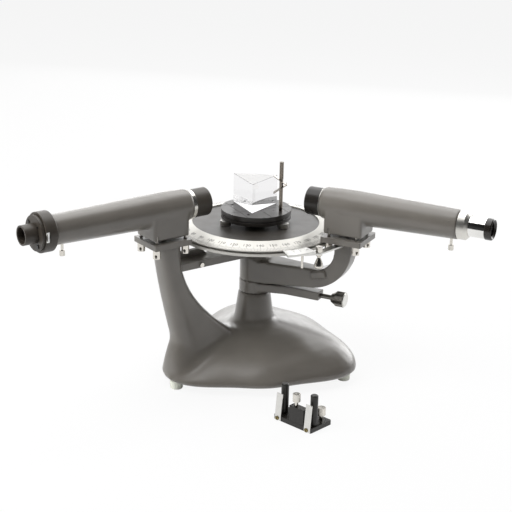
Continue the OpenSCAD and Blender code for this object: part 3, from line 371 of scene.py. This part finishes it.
def buildFinishes():
    collimatorAxis, telescopeAxis = alongTube(collimatorTurn), alongTube(telescopeTurn)
    bright = srgb(228, 226, 220)
    finishes["paint"] = enamel("stoveEnamel", srgb(101, 97, 91), 0.33, Coat_Weight=0.5, Coat_Roughness=0.28)
    finishes["black"] = enamel("blackEnamel", srgb(27, 25, 22), 0.34, grain=1400, depth=0.00002)
    # The feet's rubber is painted paler than it is: painted light for the floor's bounce under the base
    finishes["rubber"] = enamel("paleRubber", srgb(232, 234, 222), 0.62, grain=1200)
    # Dark ink of the engraved scale and vernier marks; on the brass screws' slots the same dark is painted
    # shade
    finishes["ink"] = enamel("engravingInkAndSlotShade", srgb(30, 29, 28), 0.5, grain=1500, depth=0.00001)
    finishes["whiteLine"] = enamel("whiteIndex", srgb(252, 252, 250), 0.45, grain=1500,
                                    depth=0.00001)
    finishes["discBlack"] = turnedMetal("discBlack", srgb(52, 49, 45), 0.36, onAxis(), lines=1100,
                                        depth=0.00003, metallic=0.0, wear=0.85)
    finishes["tableBlack"] = turnedMetal("tableBlack", srgb(32, 29, 26), 0.3, onAxis(), lines=1200,
                                         metallic=0.0, wear=0.85, Specular_IOR_Level=0.85)
    finishes["collimatorBlack"] = turnedMetal("collimatorBlack", srgb(58, 53, 47), 0.42, collimatorAxis,
                                              lines=1500, depth=0.00003, metallic=0.0)
    finishes["telescopeBlack"] = turnedMetal("telescopeBlack", srgb(34, 31, 28), 0.3, telescopeAxis,
                                             lines=1500, depth=0.00003, metallic=0.0)
    finishes["scaleMetal"] = turnedMetal("scaleMetal", srgb(192, 190, 184), 0.33, onAxis(), lines=1500,
                                         depth=0.00004, metallic=0.45, brushed=0.75)
    finishes["collimatorBright"] = turnedMetal("collimatorBright", bright, 0.22, collimatorAxis)
    finishes["telescopeBright"] = turnedMetal("telescopeBright", bright, 0.42, telescopeAxis)
    finishes["polished"] = turnedMetal("polishedBarrel", srgb(236, 235, 232), 0.1, telescopeAxis, lines=2500,
                                       depth=0.000006)
    finishes["nickel"] = platedMetal("nickelPlate", srgb(226, 222, 214), 0.16)
    finishes["vernierMetal"] = platedMetal("satinVernier", srgb(235, 234, 230), 0.34)
    finishes["post"] = platedMetal("drawnPost", srgb(150, 142, 132), 0.2)
    # Darker steel on the clamp knob's sides: painted shade
    finishes["knobSteel"] = platedMetal("knurledSteelPaintedShade", srgb(140, 137, 132), 0.3)
    finishes["steel"] = platedMetal("plainSteel", srgb(176, 172, 166), 0.3)
    finishes["brass"] = platedMetal("plainBrass", srgb(158, 142, 92), 0.3)
    finishes["glass"] = clearGlass("clearGlass", (0.88, 0.875, 0.88, 1))
    finishes["frostedGlass"] = clearGlass("frostedGlass", (0.6, 0.595, 0.59, 1), clear=0.4, roughness=0.7)
    finishes["lensGlass"] = clearGlass("lensGlass", (0.93, 0.94, 0.94, 1), clear=0.4)
    finishes["groundGlass"] = groundGlass("groundGlass")


# Ways of making a piece
easing = {"flat": 0.6, "edge": 32, "segments": 2}  # degrees that pass for flat, and that make an edge


def addPiece(name, bm, body, finish, replaced=(), sharp=35.0, bevel=None):
    bmesh.ops.recalc_face_normals(bm, faces=bm.faces)
    mesh = bpy.data.meshes.new(name)
    bm.to_mesh(mesh)
    bm.free()
    mesh.shade_smooth()
    mesh.set_sharp_from_angle(angle=math.radians(sharp))
    piece = bpy.data.objects.new(name, mesh)
    bpy.context.scene.collection.objects.link(piece)
    for key in (finish if isinstance(finish, list) else [finish]):
        mesh.materials.append(finishes[key])
    if bevel:
        rounding = piece.modifiers.new("edges", "BEVEL")
        rounding.width = bevel * mm
        rounding.segments = easing["segments"]
        rounding.limit_method = "ANGLE"
        rounding.angle_limit = math.radians(easing["edge"])
        rounding.harden_normals = True
    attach(piece, body)
    if replaced:
        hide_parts(*replaced)
    return piece


def spun(bm, profile, place, steps=24):
    rail = [bm.verts.new((radius * mm, 0, height * mm)) for radius, height in profile]
    edges = [bm.edges.new(pair) for pair in zip(rail, rail[1:])]
    bmesh.ops.spin(bm, geom=rail + edges, angle=math.tau, steps=steps, axis=(0, 0, 1), cent=(0, 0, 0),
                   use_merge=True)
    bmesh.ops.remove_doubles(bm, verts=bm.verts, dist=weld)
    bmesh.ops.transform(bm, matrix=place, verts=bm.verts)


def block(bm, size, place):
    bmesh.ops.create_cube(bm, size=1, matrix=place @ Matrix.Diagonal((*(s * mm for s in size), 1)))


def merged(*sources):
    bm = bmesh.new()
    for node in sources:
        bm.from_mesh(nodes[node].data)
    bmesh.ops.remove_doubles(bm, verts=bm.verts, dist=weld)
    return bm


def softCopy(name, node, body, finish, width):
    bm = merged(node)
    bmesh.ops.dissolve_limit(bm, angle_limit=math.radians(easing["flat"]), verts=bm.verts, edges=bm.edges)
    edge = math.radians(easing["edge"])
    edges = [e for e in bm.edges if len(e.link_faces) == 2 and e.calc_face_angle(0) > edge]
    bmesh.ops.bevel(bm, geom=edges, offset=width * mm, offset_type="OFFSET", segments=easing["segments"],
                    profile=0.5, affect="EDGES", clamp_overlap=True, material=-1)
    piece = addPiece(name, bm, body, finish, [node])
    flats = piece.modifiers.new("flats", "WEIGHTED_NORMAL")
    flats.keep_sharp = True


def easeVerts(bm, verts):
    bmesh.ops.smooth_vert(bm, verts=verts, factor=0.5, use_axis_x=True, use_axis_y=True, use_axis_z=True)


def sinksIn(v):
    leastDip = 0.00002  # metres
    around = [e.other_vert(v).co for e in v.link_edges]
    middle = sum(around, Vector()) / len(around)
    return (middle - v.co).dot(v.normal) > leastDip


# A fine skin over the CAD shape, eased all over and then, round by round, where it sinks in
def castPiece(name, sources, body, turn, cast):
    bm = merged(*sources)
    square = onAxis(turn)
    bmesh.ops.transform(bm, matrix=square.inverted(), verts=bm.verts)
    mesh = bpy.data.meshes.new(name + "Rough")
    bm.to_mesh(mesh)
    bm.free()
    rough = bpy.data.objects.new(name + "Rough", mesh)
    bpy.context.scene.collection.objects.link(rough)
    skin = rough.modifiers.new("skin", "REMESH")
    skin.mode = "VOXEL"
    skin.voxel_size = cast["grain"] * mm
    bpy.context.view_layer.update()
    found = bpy.data.meshes.new_from_object(rough.evaluated_get(bpy.context.evaluated_depsgraph_get()))
    bpy.data.objects.remove(rough)
    bm = bmesh.new()
    bm.from_mesh(found)
    free = [v for v in bm.verts if cast["low"] * mm < v.co.z < cast["high"] * mm]
    for k in range(cast["rounds"]):
        easeVerts(bm, free)
    lookAgain = 6  # rounds between two searches for hollows
    for k in range(cast["fillets"]):
        if k % lookAgain == 0:
            hollow = [v for v in free if sinksIn(v)]
            hollow = list({w for v in hollow for e in v.link_edges for w in e.verts} & set(free))
        easeVerts(bm, hollow)
    bmesh.ops.transform(bm, matrix=square, verts=bm.verts)
    addPiece(name, bm, body, "paint", sources, sharp=60)


def dress(finish, *names):
    for name in names:
        for slot in nodes[name].material_slots:
            slot.material = finishes[finish]


# Castings: size of the skin's grain, rounds of easing, and the heights between which they work
def buildCastings():
    base = {"grain": 1.9, "rounds": 5, "fillets": 42, "low": 8.0, "high": 163.0}
    castPiece("baseCasting", ["base_casting", "central_column"], "base", collimatorTurn, base)
    tube = {"grain": 1.1, "rounds": 2, "fillets": 5, "low": 0.0, "high": 999.0}
    castPiece("collimatorCasting", ["collimator_casting"], "collimator", collimatorTurn, tube)
    castPiece("telescopeCasting", ["telescope_casting"], "telescope", telescopeTurn, tube)
    arm = {"grain": 1.1, "rounds": 3, "fillets": 6, "low": 104.8, "high": 164.5}
    castPiece("telescopeArm", ["telescope_arm"], "telescope_arm", telescopeTurn, arm)
    ring = {"grain": 0.8, "rounds": 2, "fillets": 4, "low": 91.0, "high": 103.3}
    castPiece("clampRing", ["clamp_ring"], "telescope_arm", telescopeTurn, ring)


# Machined and moulded parts: body, finish and how much the CAD shape's edges are taken off
def buildSmallParts():
    parts = {
        "collimator_pad": ("base", "paint", 0.6), "telescope_pad": ("telescope_arm", "paint", 0.6),
        "tie_bar": ("base", "paint", 0.8), "rubber_feet": ("base", "rubber", 0.4),
        "base_cover": ("base", "steel", 0.3), "tie_bar_screws": ("base", "nickel", 0.25),
        "collimator_nuts": ("collimator", "nickel", 0.3), "telescope_nuts": ("telescope", "nickel", 0.3),
        "collimator_hood": ("collimator", "collimatorBlack", 0.35),
        "telescope_hood": ("telescope", "telescopeBlack", 0.35),
        "collimator_lock_screw": ("collimator_lock", "nickel", 0.12),
        "telescope_lock_screw": ("telescope_lock", "nickel", 0.12),
        "slit_plate": ("slit_draw", "collimatorBlack", 0.3),
        "slit_tube": ("slit_draw", "collimatorBlack", 0.3),
        "slit_ring": ("slit_ring", "collimatorBlack", 0.2), "slit_screws": ("slit_draw", "black", 0.15),
        "clamp_screw": ("clamp_screw", "knobSteel", 0.1),
        "vernier_screw": ("vernier_screw", "nickel", 0.2),
        "vernier_pin": ("telescope_arm", "nickel", 0.25),
        "vernier_plate": ("telescope_arm", "vernierMetal", 0.2),
        "vernier_strip": ("telescope_arm", "vernierMetal", 0.3),
        "eyepiece_cap": ("eyepiece", "telescopeBlack", 0.35),
        "table_lower_plate": ("table", "tableBlack", 0.35),
        "table_top_plate": ("table", "tableBlack", 0.25),
        "levelling_screw_left": ("levelling_screw_left", "vernierMetal", 0.15),
        "levelling_screw_right": ("levelling_screw_right", "vernierMetal", 0.15),
        "levelling_screw_back": ("levelling_screw_back", "vernierMetal", 0.15),
        "clamp_post": ("clamp_post", "post", 0.15), "spring_clip": ("spring_clip", "post", 0.1),
        "holder_plate": ("grating_holder", "black", 0.4), "holder_posts": ("grating_holder", "black", 0.4),
        "holder_springs": ("grating_holder", "vernierMetal", 0.1),
        "holder_screw_front": ("holder_screw_front", "nickel", 0.15),
        "holder_screw_back": ("holder_screw_back", "nickel", 0.15),
    }
    for node, (body, finish, width) in parts.items():
        words = node.split("_")
        name = words[0] + "".join(word.title() for word in words[1:])
        softCopy(name, node, body, finish, width)


# The clamp knob's end face is brighter than its sides, whose darker steel is painted shade
def brightenKnobEnd():
    knob = {"piece": "clampScrew", "finish": "vernierMetal", "turn": telescopeTurn, "depth": 1.2}
    mesh = bpy.data.objects[knob["piece"]].data
    angle = math.radians(knob["turn"])
    outwards = Vector((math.cos(angle), math.sin(angle), 0))
    tip = max(v.co.dot(outwards) for v in mesh.vertices)
    mesh.materials.append(finishes[knob["finish"]])
    for face in mesh.polygons:
        if face.center.dot(outwards) > tip - knob["depth"] * mm:
            face.material_index = 1


# Divided circle: lines for each degree, figures for each ten
def buildScale():
    scale = {"edge": 89.0, "edgeHeight": 164.9, "slope": 13.12, "figureTurn": 293.6, "figureAt": 160,
             "one": 4.8, "five": 7.8, "ten": 8.2, "line": 0.24, "tenLine": 0.336, "thick": 0.04, "gap": 0.2,
             "figure": 4.3, "figureIn": 8.5, "lift": 0.03}

    def onRing(degree, inwards):
        return (onAxis(scale["figureTurn"] + degree - scale["figureAt"], scale["edge"], scale["edgeHeight"])
                @ Matrix.Rotation(math.radians(scale["slope"]), 4, "Y")
                @ Matrix.Translation(Vector((-inwards, 0, scale["lift"])) * mm))

    lines = bmesh.new()
    for degree in range(360):
        length = scale["ten" if degree % 10 == 0 else "five" if degree % 5 == 0 else "one"]
        width = scale["tenLine" if degree % 10 == 0 else "line"]
        block(lines, (length, width, scale["thick"]), onRing(degree, length / 2 + scale["gap"]))
    addPiece("scaleLines", lines, "dial", "ink", sharp=30)
    figures = bmesh.new()
    for number in range(0, 360, 10):
        place = onRing(number, scale["figureIn"]) @ Matrix.Rotation(math.radians(90), 4, "Z")
        setFigures(figures, str(number), scale["figure"], place)
    addPiece("scaleFigures", figures, "dial", "ink", sharp=30)


figureShapes = {}


def setFigures(bm, text, height, place):
    lettering = {"share": 0.72, "thick": 0.015}  # a figure's height as a share of the letter size
    key = text + " " + str(height)
    if key not in figureShapes:
        curve = bpy.data.curves.new("figures", "FONT")
        curve.body = text
        curve.size = height / lettering["share"] * mm
        curve.align_x = "CENTER"
        curve.extrude = lettering["thick"] * mm
        curve.resolution_u = 2
        holder = bpy.data.objects.new("figures", curve)
        bpy.context.scene.collection.objects.link(holder)
        bpy.context.view_layer.update()
        figureShapes[key] = bpy.data.meshes.new_from_object(
            holder.evaluated_get(bpy.context.evaluated_depsgraph_get()))
        bpy.data.objects.remove(holder)
    shape = figureShapes[key].copy()
    shape.transform(place)
    bm.from_mesh(shape)
    bpy.data.meshes.remove(shape)


# Ten divisions, numbered 0, 5 and 10
def buildVernier():
    vernier = {"turn": 294.3, "step": 0.9, "divisions": 10, "inner": 89.4, "top": 164.7, "short": 3.2,
               "long": 4.6, "line": 0.24, "thick": 0.04, "gap": 0.2, "figure": 3.0, "figureOut": 8.9,
               "lift": 0.02}
    lines = bmesh.new()
    figures = bmesh.new()
    height = vernier["top"] + vernier["lift"]
    for k in range(vernier["divisions"] + 1):
        length = vernier["long" if k % 5 == 0 else "short"]
        turn = vernier["turn"] + vernier["step"] * k
        block(lines, (length, vernier["line"], vernier["thick"]),
              onAxis(turn, vernier["inner"] + vernier["gap"] + length / 2, height))
        if k % 5 == 0:
            setFigures(figures, str(k), vernier["figure"],
                       onAxis(turn, vernier["inner"] + vernier["figureOut"], height)
                       @ Matrix.Rotation(math.radians(90), 4, "Z"))
    addPiece("vernierLines", lines, "telescope_arm", "ink", sharp=30)
    addPiece("vernierFigures", figures, "telescope_arm", "ink", sharp=30)


# Prism: polished sides, ground base just clear of the table, frosted top
def buildPrism():
    glass = {"bevel": 0.25, "clearance": 0.06, "level": 0.9}
    bm = merged("prism")
    bmesh.ops.dissolve_limit(bm, angle_limit=math.radians(1), verts=bm.verts, edges=bm.edges)
    bmesh.ops.bevel(bm, geom=bm.edges[:], offset=glass["bevel"] * mm, offset_type="OFFSET", segments=1,
                    profile=0.5, affect="EDGES", clamp_overlap=True, material=-1)
    base = [face for face in bm.faces if face.normal.z < -glass["level"]]
    top = [face for face in bm.faces if face.normal.z > glass["level"]]
    for index, faces in ((1, base), (2, top)):
        for face in faces:
            face.material_index = index
    bmesh.ops.translate(bm, vec=(0, 0, glass["clearance"] * mm),
                        verts=list({v for face in base for v in face.verts}))
    addPiece("glassPrism", bm, "prism", ["glass", "groundGlass", "frostedGlass"], ["prism"],
             sharp=5)


# White bar on the slit ring's edge
def buildIndexMark():
    mark = {"out": 263.3, "side": 19.85, "size": (3.0, 0.7, 10.2), "bevel": 0.1}
    bar = bmesh.new()
    block(bar, mark["size"], onAxis(collimatorTurn, mark["out"], opticHeight) @ aside(mark["side"]))
    addPiece("ringIndexMark", bar, "slit_ring", "whiteLine", bevel=mark["bevel"])


# Rivet head on the telescope's tube, whose radius is given where the rivet sits
def buildRivet():
    rivet = {"out": 223.0, "height": 208.5, "tube": 15.9,
             "profile": ((0, -1), (0.9, -1), (0.9, 0.1), (0.6, 0.35), (0, 0.4))}
    side = math.sqrt(rivet["tube"] ** 2 - (rivet["height"] - opticHeight) ** 2)
    head = bmesh.new()
    spun(head, rivet["profile"], onAxis(telescopeTurn, rivet["out"], rivet["height"]) @ aside(-side)
         @ Matrix.Rotation(math.radians(90), 4, "X"))
    addPiece("castingRivet", head, "telescope", "paint", sharp=50)


# Third small screw of the slit plate
def buildPlateScrew():
    screw = {"angle": 135, "from": 11.5, "out": 268.3,
             "profile": ((0, -0.5), (1.1, -0.5), (1.1, 0.5), (0.8, 0.8), (0, 0.8))}
    head = bmesh.new()
    spun(head, screw["profile"], alongTube(collimatorTurn, screw["out"])
         @ Matrix.Rotation(math.radians(screw["angle"]), 4, "Z")
         @ Matrix.Translation((screw["from"] * mm, 0, 0)))
    addPiece("slitPlateScrew", head, "slit_draw", "black", sharp=40)


# Slots of the brass screws that hold the grating holder's springs, drawn as dark bars on the heads: painted
# shade in place of cut slots
def buildScrewSlots():
    slot = {"size": (0.7, 4.6, 0.5), "turn": 35}
    slotShades = bmesh.new()
    for centre, axis in screwHeads("holder_brass_screws"):
        block(slotShades, slot["size"], Matrix.Translation(centre)
              @ axis.to_track_quat("Z", "Y").to_matrix().to_4x4()
              @ Matrix.Rotation(math.radians(slot["turn"]), 4, "Z"))
    addPiece("brassScrewSlots", slotShades, "grating_holder", "ink", sharp=30)


# Centre and outward direction of each round head's outer face
def screwHeads(node):
    bm = merged(node)
    heads = []
    seen = set()
    for start in bm.verts:
        if start in seen:
            continue
        island, queue = set(), [start]
        while queue:
            v = queue.pop()
            if v not in island:
                island.add(v)
                queue += [e.other_vert(v) for e in v.link_edges]
        seen |= island
        middle = sum((v.co for v in island), Vector()) / len(island)
        widest = max((f for f in bm.faces if f.verts[0] in island), key=lambda f: f.calc_area())
        normal = widest.normal.copy()
        level = max(v.co.dot(normal) for v in island)
        heads.append((middle + normal * (level - middle.dot(normal)), normal))
    bm.free()
    return heads


# Small lug on the arm, under the vernier's knob
def buildArmLug():
    lug = {"out": 80.0, "height": 124.0, "side": -9.0, "size": (19.0, 5.6, 9.2), "tilt": -14, "bevel": 2.4}
    bm = bmesh.new()
    block(bm, lug["size"], onAxis(telescopeTurn, lug["out"], lug["height"]) @ aside(lug["side"])
          @ Matrix.Rotation(math.radians(lug["tilt"]), 4, "Y"))
    addPiece("armLug", bm, "telescope_arm", "paint", bevel=lug["bevel"])


# Parts that keep the CAD's own shape
def dressTheRest():
    dress("collimatorBlack", "slit_draw_tube")
    dress("telescopeBlack", "crosswire_ring")
    dress("discBlack", "dial_disc")
    dress("scaleMetal", "dial_ring", "dial_carrier")
    dress("collimatorBright", "collimator_lens_cell")
    dress("telescopeBright", "telescope_lens_cell", "eyepiece_tube")
    dress("polished", "eyepiece_barrel")
    dress("steel", "spindle", "collimator_studs", "telescope_studs", "slit_jaw_left", "slit_jaw_right",
          "table_stem")
    dress("brass", "holder_brass_screws")
    dress("lensGlass", "collimator_lens", "telescope_lens", "eyepiece_lenses")


buildCamera()
buildLamps()
buildBackdrop()
buildFloor()
buildFinishes()
print("stage: studio and finishes")
buildCastings()
print("stage: castings")
buildSmallParts()
brightenKnobEnd()
print("stage: small parts")
buildScale()
buildVernier()
buildPrism()
print("stage: scale, vernier and prism")
buildIndexMark()
buildRivet()
buildPlateScrew()
buildScrewSlots()
buildArmLug()
dressTheRest()
print("stage: fittings")

bpy.context.scene.view_settings.view_transform = "Standard"
print("stage: finish")
